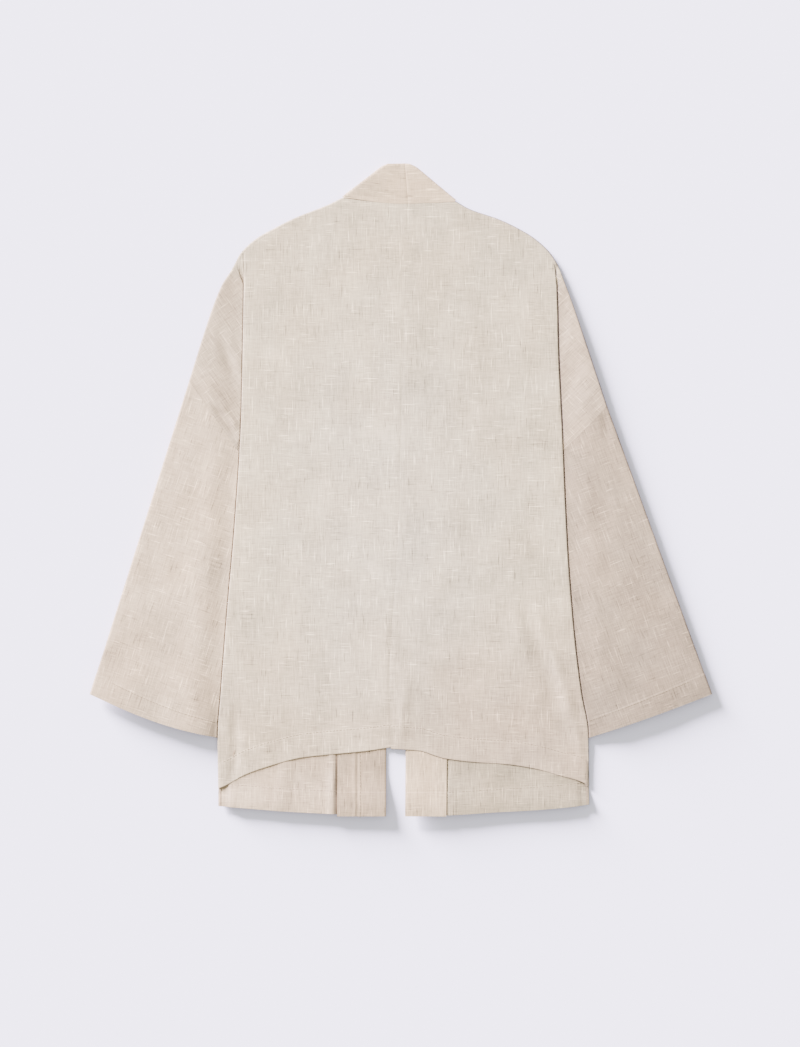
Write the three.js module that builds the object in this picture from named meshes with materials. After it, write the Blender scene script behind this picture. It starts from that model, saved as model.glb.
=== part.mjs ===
// Kimono jacket in slubbed linen cloth, laid flat on its fronts with the back uppermost.
// Millimetres, +Z up from the surface that it lies on, +Y towards the collar, +X to the jacket's right.
// The sleeves are swung down: each side of the body is tucked behind the body's own edge in a long
// Z-shaped fold that starts at the shoulder tip, and the sleeve comes out of that fold.
import * as THREE from 'three';

const { lerp, clamp, smoothstep } = THREE.MathUtils;

// Cloth and seams
const cloth = 1.2;
const bandCloth = 2.2;
const seamGap = 0.35;
const turnedGap = 0.9;
const armholeGap = 0.5;
const hemRaise = 0.5;
const hemStep = 2;

// Height of the middle of each layer above the surface, from the fronts up to the back
const layer = { front: cloth / 2, frontTuck: 2.6, lowerLimb: 4.4, upperLimb: 6.2, backTuck: 8.0, neck: 5.0 };
const limbRise = { armhole: 5.0, cuff: 3.6 };

// Depth of each turned-up hem
const hemDepth = { back: 32, front: 29, cuff: 25 };

// Half-width of the rolled edges, measured across the edge
const roll = { fold: 2.0, tuck: 1.2, rim: 3.0 };
const frontInset = 5;
const foldRamp = 30;
const foldLead = 24;
const rimRun = 3;
const leastTuck = 9;
const shoulderStrip = 13;
const frontDrop = 12;

// Segments along each stretch of a body section, and round a sleeve
const steps = { back: 7, front: 4, fold: 4, tuck: 3, rim: 3, sleeve: 4, sleeveEdge: 4, band: 3 };

// Places past the body's edge where the sleeve's layers bend down towards the surface
const limbStops = [0, 8, 16, 24];

// Level of the back along the centre and beside the side folds, by height on the jacket
const backLevels = [
  { y: 366, centre: 5.0, side: 5.0 },
  { y: 330, centre: 4.2, side: 7.6 },
  { y: 300, centre: 3.6, side: 10.6 },
  { y: 285, centre: 3.4, side: 11.0 },
  { y: 235, centre: 3.1, side: 11.0 },
  { y: -240, centre: 3.1, side: 11.0 },
  { y: -320, centre: 3.1, side: 10.8 },
  { y: -350, centre: 3.1, side: 8.7 },
  { y: -373, centre: 3.1, side: 6.6 },
];

// Centre back seam, which wanders a little as the jacket lies
const centreBack = [
  { y: 358, x: 9 },
  { y: 250, x: 5 },
  { y: 155, x: 2 },
  { y: 30, x: -1 },
  { y: -100, x: -6.5 },
  { y: -175, x: -12 },
  { y: -235, x: -14.5 },
  { y: -321, x: -12.5 },
];

// Centre back seam of the neckband, from the neck edge up
const bandCentre = { low: 9, high: 5 };

// Each side as it lies. "out" is the distance from the middle of the jacket.
// shoulder: outline from the neck to the armhole. edge: the body's folded edge. hem: the two lower edges.
const left = {
  name: 'left',
  sign: -1,
  neck: { out: 74, y: 365 },
  foldTop: { out: 197, y: 292 },
  armholeTop: { out: 265, y: 136 },
  armholeCross: 34,
  underarm: { out: 132.5, y: -53 },
  innerFold: { out: 105, y: -53 },
  sideSeamEnd: { out: 224, y: -373 },
  cuffOuter: { out: 388.75, y: -255 },
  cuffInner: { out: 210, y: -313 },
  cuffBow: 8,
  bandTop: { out: 14, y: 405.5 },
  bandNeck: { out: 67.5, y: 365.5 },
  bandEdge: { top: 15, bottom: 18.75 },
  bandWidth: 61,
  shoulder: [
    { y: 365, out: 74 },
    { y: 356, out: 91 },
    { y: 337.5, out: 135 },
    { y: 325, out: 159 },
    { y: 312.5, out: 181 },
    { y: 294, out: 201 },
    { y: 275, out: 212 },
    { y: 256, out: 224 },
    { y: 237.5, out: 232 },
    { y: 200, out: 245 },
    { y: 136, out: 265 },
  ],
  edge: [
    { y: 292, out: 196 },
    { y: 169, out: 198 },
    { y: 87, out: 200 },
    { y: -37, out: 207.5 },
    { y: -159, out: 218 },
    { y: -250, out: 225 },
    { y: -312, out: 229.5 },
    { y: -395, out: 228.5 },
  ],
  backHem: [
    { out: 12.5, y: -321 },
    { out: 46, y: -326 },
    { out: 77.5, y: -329 },
    { out: 124, y: -334 },
    { out: 162.5, y: -344 },
    { out: 195, y: -355.5 },
    { out: 217.5, y: -368 },
    { out: 229, y: -373 },
  ],
  frontHem: [
    { out: 19, y: -407.5 },
    { out: 77, y: -405 },
    { out: 139, y: -402 },
    { out: 190, y: -398 },
    { out: 228, y: -395 },
  ],
};

const right = {
  name: 'right',
  sign: 1,
  neck: { out: 70, y: 359.8 },
  foldTop: { out: 193, y: 283 },
  armholeTop: { out: 258, y: 104 },
  armholeCross: 38,
  underarm: { out: 94.5, y: -60 },
  innerFold: { out: 62.5, y: -60 },
  sideSeamEnd: { out: 231, y: -371 },
  cuffOuter: { out: 388.75, y: -255 },
  cuffInner: { out: 214, y: -316 },
  cuffBow: 2,
  bandTop: { out: 10.5, y: 405 },
  bandNeck: { out: 64.3, y: 359.6 },
  bandEdge: { top: 12.5, bottom: 5 },
  bandWidth: 51.5,
  shoulder: [
    { y: 359.8, out: 70 },
    { y: 350, out: 87 },
    { y: 337.5, out: 122 },
    { y: 325, out: 147.5 },
    { y: 312.5, out: 167.5 },
    { y: 294, out: 187 },
    { y: 275, out: 198.5 },
    { y: 256, out: 206 },
    { y: 237.5, out: 213 },
    { y: 200, out: 226 },
    { y: 104, out: 258 },
  ],
  edge: [
    { y: 283, out: 193 },
    { y: 250, out: 195 },
    { y: 169, out: 197 },
    { y: 87, out: 201 },
    { y: -69, out: 208 },
    { y: -169, out: 215.5 },
    { y: -250, out: 225 },
    { y: -306, out: 234.5 },
    { y: -393, out: 235.5 },
  ],
  backHem: [
    { out: -12.5, y: -321 },
    { out: 21, y: -323 },
    { out: 55, y: -333 },
    { out: 97.5, y: -338 },
    { out: 130, y: -340 },
    { out: 164, y: -345 },
    { out: 199, y: -354.5 },
    { out: 230, y: -364 },
    { out: 236, y: -371 },
  ],
  frontHem: [
    { out: 7, y: -407.5 },
    { out: 57, y: -406.5 },
    { out: 115, y: -403 },
    { out: 169, y: -400 },
    { out: 213, y: -396 },
    { out: 235, y: -393 },
  ],
};

// Value of one column of a table at a place along another, on straight stretches between its rows.
function read(table, key, value, place) {
  const rising = table[table.length - 1][key] > table[0][key];
  const rows = rising ? table : [...table].reverse();
  const after = rows.findIndex((row) => row[key] > place);
  if (after === 0) return rows[0][value];
  if (after < 0) return rows[rows.length - 1][value];
  const [a, b] = [rows[after - 1], rows[after]];
  return lerp(a[value], b[value], (place - a[key]) / (b[key] - a[key]));
}

// Place on the straight line between two points of a side, at a height.
function lineOut(from, to, y) {
  return lerp(from.out, to.out, (y - from.y) / (to.y - from.y));
}

const ease = (from, to, value) => smoothstep((value - from) / (to - from), 0, 1);

// Outline of the shoulder and sleeve head, and the body's folded edge
const shoulderOut = (side, y) => read(side.shoulder, 'y', 'out', y);
const edgeOut = (side, y) => Math.min(read(side.edge, 'y', 'out', y), shoulderOut(side, y) - shoulderStrip);

// How much longer a step across the shoulder's outline is when it is measured straight outwards
function slant(side, y) {
  const reach = 8;
  return Math.hypot(1, (shoulderOut(side, y - reach) - shoulderOut(side, y + reach)) / (2 * reach));
}

// Inner fold of the tuck above the underarm, and the side seam below it
function tuckOut(side, y) {
  const line = y > side.underarm.y
    ? lineOut(side.foldTop, side.innerFold, y)
    : lineOut(side.innerFold, side.sideSeamEnd, y);
  return Math.min(line, edgeOut(side, y) - leastTuck);
}

// The layers part just above the shoulder tip, and tuck under one another just below it
const parted = (side, y) => ease(side.foldTop.y + foldLead, side.foldTop.y, y);
const tucked = (side, y) => ease(side.foldTop.y, side.foldTop.y - foldRamp, y);
const bandFree = (side, y) => lerp(side.bandEdge.bottom, side.bandEdge.top, (y + 408) / 816);

// The neckband's sewn edge swings in from the neck fold to run beside the front
function bandSeam(side, y) {
  const swing = Math.exp((y - side.bandNeck.y) / 30);
  return lerp(bandFree(side, y) + side.bandWidth, side.bandNeck.out, clamp(swing, 0, 1));
}

function neckHeight(side, out) {
  const share = clamp(out / side.neck.out, -1, 1);
  return lerp(357.5, side.neck.y, share * share);
}

// Levels of the layers at a place
function backLevel(side, out, y) {
  const inner = y > side.foldTop.y ? edgeOut(side, y) : tuckOut(side, y);
  const lift = ease(inner - 45, inner - 4, out);
  return lerp(read(backLevels, 'y', 'centre', y), read(backLevels, 'y', 'side', y), lift);
}

function upperLimb(side, out, y) {
  const open = lerp(limbRise.cuff, limbRise.armhole, clamp((y + 255) / 390, 0, 1));
  return lerp(layer.upperLimb, open, ease(0, 40, out - edgeOut(side, y)));
}

function lowerLimb(side, out, y) {
  return lerp(layer.lowerLimb, layer.front, ease(0, 24, out - edgeOut(side, y)));
}

const backTuckLevel = (y) => lerp(layer.backTuck, 4.4, ease(-322, -373, y));

// Level where the upper and lower layers meet along the shoulder and the sleeve head
function rimLevel(side, y) {
  const out = shoulderOut(side, y);
  const share = parted(side, y);
  const upper = lerp(backLevel(side, out, y), upperLimb(side, out, y), share);
  const lower = lerp(layer.front, lowerLimb(side, out, y), share);
  return (upper + lower) / 2;
}

// The front's fold lies a little inside the back's, so that the back covers it down to the hem
function frontEdgeInset(side, y) {
  return Math.min(frontInset, (edgeOut(side, y) - tuckOut(side, y)) * 0.25) * ease(-390, -330, y);
}

// The back and the front follow the same folds; they differ in where they start and in their levels.
const back = {
  name: 'back',
  way: 1,
  hem: (side, out) => read(side.backHem, 'out', 'y', out),
  top: (side, out) => neckHeight(side, out) - seamGap,
  start: (side, y) => side.sign * read(centreBack, 'y', 'x', y) + seamGap / 2,
  edge: edgeOut,
  panelLevel: backLevel,
  tuckLevel: backTuckLevel,
  limbLevel: upperLimb,
  raise: hemRaise,
};

const front = {
  name: 'front',
  way: -1,
  hem: (side, out) => read(side.frontHem, 'out', 'y', out),
  top: (side) => side.neck.y - frontDrop,
  start: (side, y) => bandSeam(side, y) + seamGap,
  edge: (side, y) => edgeOut(side, y) - frontEdgeInset(side, y),
  panelLevel: () => layer.front,
  tuckLevel: () => layer.frontTuck,
  limbLevel: lowerLimb,
  raise: hemRaise,
};

// Points along a quarter or half turn: how far out, and what part of the drop is behind them.
function turn(from, halfWidth, sweep, count) {
  return Array.from({ length: count }, (_, i) => {
    const share = (i + 1) / count;
    const angle = sweep * share;
    const whole = 1 - Math.cos(sweep);
    return { out: from + halfWidth * Math.sin(angle), drop: (1 - Math.cos(angle)) / whole, share };
  });
}

// Where the armhole seam meets the fold along the sleeve head, at the middle of the cloth
const armholeCorner = (side) => ({ out: side.armholeTop.out - cloth / 2, y: side.armholeTop.y });

// Places across a limb of the sleeve, from the inner fold past the body's edge to the armhole
function limbOuts(inner, edge, end) {
  const stops = limbStops.map((reach, i) => Math.min(edge + reach, end - (limbStops.length - i) * 1.2));
  return [lerp(inner, stops[0], 0.5), ...stops, end];
}

// One section across half of the body at a height on its side, from the centre to the outer rim.
function bodySection(side, panel, sideY) {
  const lowest = panel.hem(side, read(side.edge, 'y', 'out', -400));
  const highest = panel.top(side, side.neck.out);
  const share = (highest - sideY) / (highest - lowest);
  const warp = (out) => lerp(panel.top(side, out), panel.hem(side, out), share);
  const limbed = sideY >= side.underarm.y;
  const above = sideY >= side.armholeTop.y;
  const outline = shoulderOut(side, sideY) - cloth / 2;
  const outer = above ? outline : lineOut(armholeCorner(side), side.underarm, sideY) - seamGap * 0.6;
  const firstStart = panel.start(side, sideY);
  const room = outline - firstStart;
  const rim = Math.min(above ? roll.rim * slant(side, sideY) : roll.rim, room * 0.2);
  const strip = Math.min(shoulderStrip * slant(side, sideY), room * 0.4);
  const edge = Math.min(panel.edge(side, sideY), above ? outline - strip : Infinity) - cloth / 2;
  const inner = tuckOut(side, sideY) + cloth / 2;
  const panelEnd = edge - roll.fold;
  const settled = parted(side, sideY);
  const rowY = (out) => warp(out) + settled * (sideY - warp(panelEnd));
  const start = panel.start(side, rowY(firstStart));
  const tuck = panel.tuckLevel(sideY);
  const limb = (out) => panel.limbLevel(side, out, sideY);
  const limbEnd = outer - rim;

  const points = [];
  const columns = steps[panel.name];
  for (let i = 0; i <= columns; i++) {
    const out = lerp(start, panelEnd, i / columns);
    points.push({ out, y: rowY(out), z: panel.panelLevel(side, out, rowY(out)) });
  }
  const top = points[points.length - 1];

  // The Z-shaped fold as it lies when it is fully formed
  const bends = turn(top.out, roll.fold, Math.PI, steps.fold)
    .map((p) => ({ out: p.out, z: lerp(top.z, tuck, p.drop) }));
  for (let i = 1; i <= steps.tuck; i++) {
    bends.push({ out: lerp(top.out, inner + roll.tuck, i / steps.tuck), z: tuck });
  }
  if (limbed) {
    bends.push(...turn(inner + roll.tuck, -roll.tuck, Math.PI, steps.fold)
      .map((p) => ({ out: p.out, z: lerp(tuck, limb(inner), p.drop) })));
    bends.push(...limbOuts(inner + roll.tuck, edgeOut(side, sideY), limbEnd)
      .map((out) => ({ out, z: limb(out) })));
  } else {
    // The two edges of the side seam turn towards each other where there is room between them
    const between = backTuckLevel(sideY) - layer.frontTuck;
    const meeting = layer.frontTuck + (between + panel.way * turnedGap) / 2;
    const seam = lerp(tuck, meeting, ease(2.2, 4.5, between));
    bends.push(...turn(inner + roll.tuck, -roll.tuck, Math.PI / 2, steps.fold)
      .map((p) => ({ out: p.out, z: lerp(tuck, seam, p.drop) })));
  }

  // Above the shoulder tip the same cloth lies smooth, then slopes to the limb, then tucks under itself
  const spread = limbed ? tucked(side, sideY) : 1;
  const foldEnd = 2 * steps.fold + steps.tuck;
  bends.forEach((p, i) => {
    const smooth = lerp(top.out, limbEnd, (i + 1) / bends.length);
    const slope = lerp(top.z, limb(smooth), ease(0, foldEnd, i + 1));
    const open = lerp(panel.panelLevel(side, smooth, sideY), slope, settled);
    const out = lerp(smooth, p.out, spread);
    points.push({ out, y: lerp(warp(out), top.y, settled), z: lerp(open, p.z, spread) });
  });
  if (limbed) {
    const last = points[points.length - 1];
    const end = above ? rimLevel(side, sideY) + (panel.way * turnedGap) / 2 : last.z;
    turn(0, 1, Math.PI / 2, steps.rim).forEach((p) => {
      const out = lerp(last.out, outer, above ? p.out : p.share);
      points.push({ out, y: lerp(warp(out), top.y, settled), z: above ? lerp(last.z, end, p.drop) : limb(out) });
    });
  }
  const raised = share > 1 - (hemDepth[panel.name] + 0.5) / (highest - lowest) ? hemRaise : 0;
  return points.map((p, i) => ({ ...p, raise: i < columns ? raised : 0 }));
}

// Heights of the sections, set by the fold's start, the armhole, the underarm and the hem
function bodyHeights(side, panel) {
  const lowest = panel.hem(side, read(side.edge, 'y', 'out', -400));
  const highest = panel.top(side, side.neck.out);
  const hemTop = lowest + hemDepth[panel.name];
  const flap = side.foldTop.y - foldRamp;
  const stretch = (from, to, count) => Array.from({ length: count }, (_, i) => lerp(from, to, i / count));
  return [
    ...stretch(highest, side.foldTop.y + foldLead, 3),
    ...stretch(side.foldTop.y + foldLead, side.foldTop.y, 4),
    ...stretch(side.foldTop.y, flap, 6),
    ...stretch(flap, side.armholeTop.y, 4),
    side.armholeTop.y,
    ...stretch(side.armholeTop.y - rimRun, side.armholeCross, 5),
    ...stretch(side.armholeCross, side.underarm.y, 4),
    ...stretch(side.underarm.y, -322, 6),
    -322,
    hemTop + hemStep,
    hemTop,
    lowest,
  ].filter((y, i, all) => i === 0 || y < all[i - 1] - 0.5);
}

// A wall of cloth from rows of points on its middle surface, thickened along the surface's normals.
// Rows may end early, where a stretch of cloth stops. A ring joins the end of each row to its start.
function clothWall(rows, thickness, { ring = false, flip = false } = {}) {
  const points = rows.flat();
  const starts = rows.map((_, r) => rows.slice(0, r).reduce((sum, row) => sum + row.length, 0));
  const faces = [];
  for (let r = 0; r + 1 < rows.length; r++) {
    const shared = Math.min(rows[r].length, rows[r + 1].length);
    for (let c = 0; c < (ring ? shared : shared - 1); c++) {
      const next = (c + 1) % shared;
      const [a, b] = [starts[r] + c, starts[r + 1] + c];
      const [d, e] = [starts[r + 1] + next, starts[r] + next];
      faces.push(flip ? [a, d, b] : [a, b, d], flip ? [a, e, d] : [a, d, e]);
    }
  }
  const middle = new THREE.BufferGeometry();
  const flat = points.flatMap((p) => [p.x, p.y, p.z]);
  middle.setAttribute('position', new THREE.Float32BufferAttribute(flat, 3));
  middle.setIndex(faces.flat());
  middle.computeVertexNormals();
  const normals = middle.getAttribute('normal');

  const shift = (i, distance) => {
    const normal = new THREE.Vector3().fromBufferAttribute(normals, i);
    return new THREE.Vector3(points[i].x, points[i].y, points[i].z).addScaledVector(normal, distance);
  };
  const outside = points.map((p, i) => shift(i, thickness / 2 + (p.raise ?? 0)));
  const inside = points.map((_, i) => shift(i, -thickness / 2));
  const vertices = [...outside, ...inside].flatMap((p) => p.toArray());
  const triangles = faces.flatMap(([a, b, c]) => {
    const n = points.length;
    return [a, b, c, n + a, n + c, n + b];
  });
  const used = new Set(faces.flatMap(([a, b, c]) => [`${a},${b}`, `${b},${c}`, `${c},${a}`]));
  used.forEach((edge) => {
    const [a, b] = edge.split(',').map(Number);
    if (used.has(`${b},${a}`)) return;
    const n = points.length;
    triangles.push(b, a, n + a, b, n + a, n + b);
  });
  const wall = new THREE.BufferGeometry();
  wall.setAttribute('position', new THREE.Float32BufferAttribute(vertices, 3));
  wall.setIndex(triangles);
  wall.computeVertexNormals();
  return wall;
}

const place = (side, p) => ({ ...p, x: side.sign * p.out });

// Half of the back or one front, from its centre edge round the side fold to the armhole
function bodyPanel(side, panel) {
  const rows = bodyHeights(side, panel).map((y) => bodySection(side, panel, y).map((p) => place(side, p)));
  return clothWall(rows, cloth, { flip: side.sign < 0 });
}

// One sleeve: a flattened tube from the armhole to the cuff, with its fold on the outer edge
function sleeve(side) {
  const { armholeTop, underarm, cuffOuter, cuffInner } = side;
  const long = Math.abs(cuffOuter.y - armholeTop.y);
  const hemAt = 1 - hemDepth.cuff / long;
  const shares = [0, 0.12, 0.26, 0.4, 0.55, 0.7, 0.83, hemAt - hemStep / long, hemAt, 1];
  const rows = shares.map((share) => {
    const outer = { out: lerp(armholeTop.out, cuffOuter.out, share), y: lerp(armholeTop.y, cuffOuter.y, share) };
    const inner = { out: lerp(underarm.out, cuffInner.out, share), y: lerp(underarm.y, cuffInner.y, share) };
    const width = Math.hypot(outer.out - inner.out, outer.y - inner.y);
    const start = (t) => armholeGap * (1 - share) * (1 + ease(0.9, 1, t));
    const across = (t) => ({
      out: lerp(inner.out, outer.out - cloth / 2, t),
      y: lerp(inner.y, outer.y, t) - start(t) - side.cuffBow * share * Math.sin(Math.PI * t),
    });
    const [near, far] = [roll.tuck / width, 1 - roll.rim / width];
    const places = sleevePlaces(side, across, near, far);
    const hem = share >= hemAt ? hemRaise : 0;
    const raise = (out) => hem * ease(0, 16, out - edgeOut(side, inner.y));
    const layerOf = (level, t) => {
      const p = across(t);
      return { ...p, z: level(side, p.out, p.y) };
    };
    const upper = places.map((t) => layerOf(upperLimb, t));
    const lower = places.map((t) => layerOf(lowerLimb, t)).reverse();
    return [
      ...upper.map((p) => ({ ...p, raise: raise(p.out) })),
      ...edgeTurn(upper[upper.length - 1], across(1), lower[0]),
      ...lower,
      ...edgeTurn(lower[lower.length - 1], across(0), upper[0]),
    ].map((p) => place(side, p));
  });
  return clothWall(rows, cloth, { ring: true, flip: side.sign < 0 });
}

// Places along a sleeve's section: up to the body's edge, down from it, and on to the outer fold
function sleevePlaces(side, across, near, far) {
  const beyond = (t) => across(t).out - edgeOut(side, across(t).y);
  const find = (reach) => {
    let [low, high] = [near, far];
    for (let i = 0; i < 30; i++) {
      const half = (low + high) / 2;
      if (beyond(half) < reach) low = half;
      else high = half;
    }
    return low;
  };
  const stops = limbStops.map(find);
  const last = stops[stops.length - 1];
  return [
    near,
    lerp(near, stops[0], 0.5),
    ...stops,
    ...Array.from({ length: steps.sleeve }, (_, i) => lerp(last, far, (i + 1) / steps.sleeve)),
  ];
}

// Half turn round an edge of a flattened tube, between its two layers
function edgeTurn(from, tip, to) {
  return turn(0, 1, Math.PI, steps.sleeveEdge).slice(0, -1).map((p) => ({
    out: lerp(from.out, tip.out, p.out),
    y: lerp(from.y, tip.y, p.out),
    z: lerp(from.z, to.z, p.drop),
  }));
}

// Half of the neckband: from the centre back seam, folded under beside the neck, and down the front edge
function neckband(side) {
  const topY = 408.5;
  const centre = { low: side.sign * bandCentre.low + seamGap / 2, high: side.sign * bandCentre.high + seamGap / 2 };
  const frontLevel = bandCloth / 2;
  const { bandTop, bandNeck } = side;
  const across = (sewn, free) => Array.from({ length: steps.band + 1 }, (_, i) => {
    const t = i / steps.band;
    return { out: lerp(sewn.out, free.out, t), y: lerp(sewn.y, free.y, t), z: lerp(sewn.z, free.z, t) };
  });
  const rows = [];
  const backRows = 5;
  for (let i = 0; i <= backRows; i++) {
    const t = i / backRows;
    const sewn = { out: lerp(centre.low, bandNeck.out, t), z: layer.neck };
    sewn.y = lerp(neckHeight(side, sewn.out) + 0.1, bandNeck.y, t ** 6);
    const free = { out: lerp(centre.high, bandTop.out, t), y: lerp(topY - 0.4, bandTop.y, t), z: layer.neck };
    rows.push(across(sewn, free));
  }
  // Round the slanting fold beside the neck
  const slope = new THREE.Vector2(bandTop.out - bandNeck.out, bandTop.y - bandNeck.y).normalize();
  const outward = { out: slope.y, y: -slope.x };
  const turns = 5;
  for (let i = 1; i <= turns; i++) {
    const angle = (Math.PI * i) / turns;
    const reach = 2 * Math.sin(angle);
    const z = lerp(layer.neck, frontLevel, (1 - Math.cos(angle)) / 2);
    const move = (p) => ({ out: p.out + outward.out * reach, y: p.y + outward.y * reach, z });
    rows.push(across(move(bandNeck), move(bandTop)));
  }
  // Down the front, where the slanting rows come level with the edge
  const hemTop = hemDepth.front - 407.5;
  const drops = [394, 378, 355, 325, 285, 235, 170, 80, -20, -120, -220, -310, hemTop + hemStep, hemTop, -407.5];
  drops.forEach((y) => {
    const lag = (bandTop.y - bandNeck.y) * Math.exp((y - bandTop.y) / 70);
    const raise = y <= hemTop ? hemRaise : 0;
    const free = { out: bandFree(side, y), y, z: frontLevel };
    const sewn = { out: bandSeam(side, y - lag), y: y - lag, z: frontLevel };
    rows.push(across(sewn, free).map((p) => ({ ...p, raise })));
  });
  const placed = rows.map((row) => row.map((p) => place(side, p)));
  return clothWall(placed, bandCloth, { flip: side.sign > 0 });
}

const linen = (name, colour) => new THREE.MeshStandardMaterial({
  name,
  color: colour,
  roughness: 0.92,
  metalness: 0,
  side: THREE.DoubleSide,
});
const materials = {
  back: linen('oatmeal slub linen', 0xdcd4cb),
  front: linen('oatmeal slub linen, inside', 0xd9cfc4),
  sleeve: linen('oatmeal slub linen, sleeve', 0xd9cdc2),
  band: linen('oatmeal slub linen, band', 0xdfd5c9),
};

const jacket = new THREE.Group();
jacket.name = 'kimono_jacket';
function sew(name, geometry, material) {
  const mesh = new THREE.Mesh(geometry, material);
  mesh.name = name;
  jacket.add(mesh);
}
[left, right].forEach((side) => {
  sew(`back_${side.name}`, bodyPanel(side, back), materials.back);
  sew(`front_${side.name}`, bodyPanel(side, front), materials.front);
  sew(`sleeve_${side.name}`, sleeve(side), materials.sleeve);
  sew(`neckband_${side.name}`, neckband(side), materials.band);
});

// The origin is the middle of the jacket's footprint, on the surface that it lies on
const box = new THREE.Box3().setFromObject(jacket);
const middle = box.getCenter(new THREE.Vector3());
jacket.position.set(-middle.x, -middle.y, -box.min.z);

export default jacket;
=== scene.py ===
"""Kimono jacket in slubbed linen, laid flat with its back uppermost: cloth, stitching and stage.

Lengths in the tables are millimetres in the jacket's own plan: X to the right, Y towards the collar,
with "out" the distance from the middle of the jacket on either side.
"""

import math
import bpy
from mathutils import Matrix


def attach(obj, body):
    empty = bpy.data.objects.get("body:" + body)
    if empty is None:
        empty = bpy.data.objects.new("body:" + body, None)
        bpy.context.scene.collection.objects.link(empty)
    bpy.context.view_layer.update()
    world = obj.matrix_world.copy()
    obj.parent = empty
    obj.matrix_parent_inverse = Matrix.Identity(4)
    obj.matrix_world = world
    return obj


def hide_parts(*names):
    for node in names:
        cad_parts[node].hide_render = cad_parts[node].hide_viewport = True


bl_info = {
    "name": "Kimono jacket",
    "version": (1, 0, 0),
    "blender": (4, 5, 0),
    "location": "View3D > Sidebar > Kimono jacket",
    "description": "Builds a linen kimono jacket laid flat, with its stitching and a small studio",
    "category": "Add Mesh",
}

from types import SimpleNamespace
from typing import NamedTuple

import bpy
import numpy as np
from bpy.props import FloatProperty, IntProperty, PointerProperty
from mathutils import Vector

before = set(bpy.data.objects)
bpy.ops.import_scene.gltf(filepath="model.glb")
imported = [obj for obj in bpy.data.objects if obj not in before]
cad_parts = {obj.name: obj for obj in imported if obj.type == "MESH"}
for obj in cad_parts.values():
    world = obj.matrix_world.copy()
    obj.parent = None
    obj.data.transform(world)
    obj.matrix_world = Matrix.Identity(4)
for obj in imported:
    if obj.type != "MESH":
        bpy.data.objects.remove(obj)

MM = 0.001
# The middle of the jacket's footprint in its plan
PLAN_CENTRE = (-0.004, 0.3)

# Height of the middle of each layer above the surface, from the fronts up to the back
LEVEL = {
    "front": 0.5, "front_tuck": 1.5, "lower_limb": 2.5, "upper_limb": 3.6, "back_tuck": 4.7, "neck": 4.5,
}
# Height of the upper limb and sleeve beside the body, where their tube stands open, and of the lower ones
LIMB_OPEN = {"armhole": 7.2, "cuff": 7.8}
LIMB_UNDER = 3.8
# From an outline or a fold line to the middle of the cloth that turns there
HALF = 0.6
# Gaps at the panels' seams and the armhole, and between the layers' turned edges along the shoulder
SEAM = 0.08
ARMHOLE_SEAM = 0.06
TURNED_SEAM = 0.9
# How far in a rolled edge starts: at the side fold, in the tuck and along the shoulder
FOLD_ROLL, TUCK_ROLL, RIM_ROLL = 1.2, 1.2, 2.0
# The front's side fold lies so much inside the back's
FRONT_INSET = 5
# Distance below the shoulder tip over which the layers tuck under one another, and the shallowest tuck
FOLD_RAMP, LEAST_TUCK = 30, 4.0
# Width of limb that shows beside the body at the shoulder tip
STRIP = 3.2
# Top edge of the front, below the neck point
FRONT_DROP = 12
HEM = {"back": 32, "front": 29, "cuff": 25}
# Half the thickness that the doubled neckband takes up
BAND_HALF = 1.1
# Columns across the folded stretches of a body panel, from its side fold to its outline
TURN_COLUMNS, TUCK_COLUMNS, LIMB_COLUMNS, RIM_COLUMNS = 8, 8, 32, 7
# Columns across a sleeve's upper layer, and those whose hem stitches show
SLEEVE_COLUMNS, SLEEVE_STITCHED = 62, slice(38, 60)
# Where the dotted line of stitches runs on the left band: its column and the row that it starts from
DOTTED_COLUMN, DOTTED_FROM = 23, 60
# How deep a stitch sits in the cloth
SINK = 0.02
# The spot of the plan that the camera looks at
PICTURE_CENTRE = (-1.25, -42.2)
# Where the light comes from: onto the cloth, and lower, onto the surface
KEY_FROM, SURFACE_FROM = (-1.0, 0.92, 0.52), (-1.0, 1.05, 0.285)


def rows(names, values):
    """A short table with named columns, kept as one array for each name, in the same order."""
    return dict(zip(names.split(), np.array(values, float).T))


# Height of the back down its middle and near its side folds, where it lies on the tucks
BACK_LEVELS = rows("y centre side", [
    (366, 5.0, 5.1), (340, 4.9, 5.1), (300, 4.7, 4.9), (275, 4.6, 5.2), (250, 4.6, 5.9), (200, 4.6, 6.3),
    (-240, 4.6, 6.2), (-290, 3.8, 5.2), (-320, 2.8, 4.1), (-330, 2.75, 3.7), (-350, 2.7, 3.2),
    (-373, 2.7, 2.9),
])
# The centre back seam's path
CENTRE_BACK = rows("y x", [
    (358, 9), (250, 5), (155, 2), (30, -1), (-100, -6.5), (-175, -12), (-235, -14.5), (-321, -12.5),
])
# Where the neckband's centre seam meets the back and ends at its free edge, out from the middle
BAND_CENTRE = {"low": 9, "high": 5}
# Heights in the plan of the neck seam and the band's free edge at the centre back, and of the band's ends
NECK_CENTRE, BAND_TOP, BAND_END = 357.5, 408.1, -407.5

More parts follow.
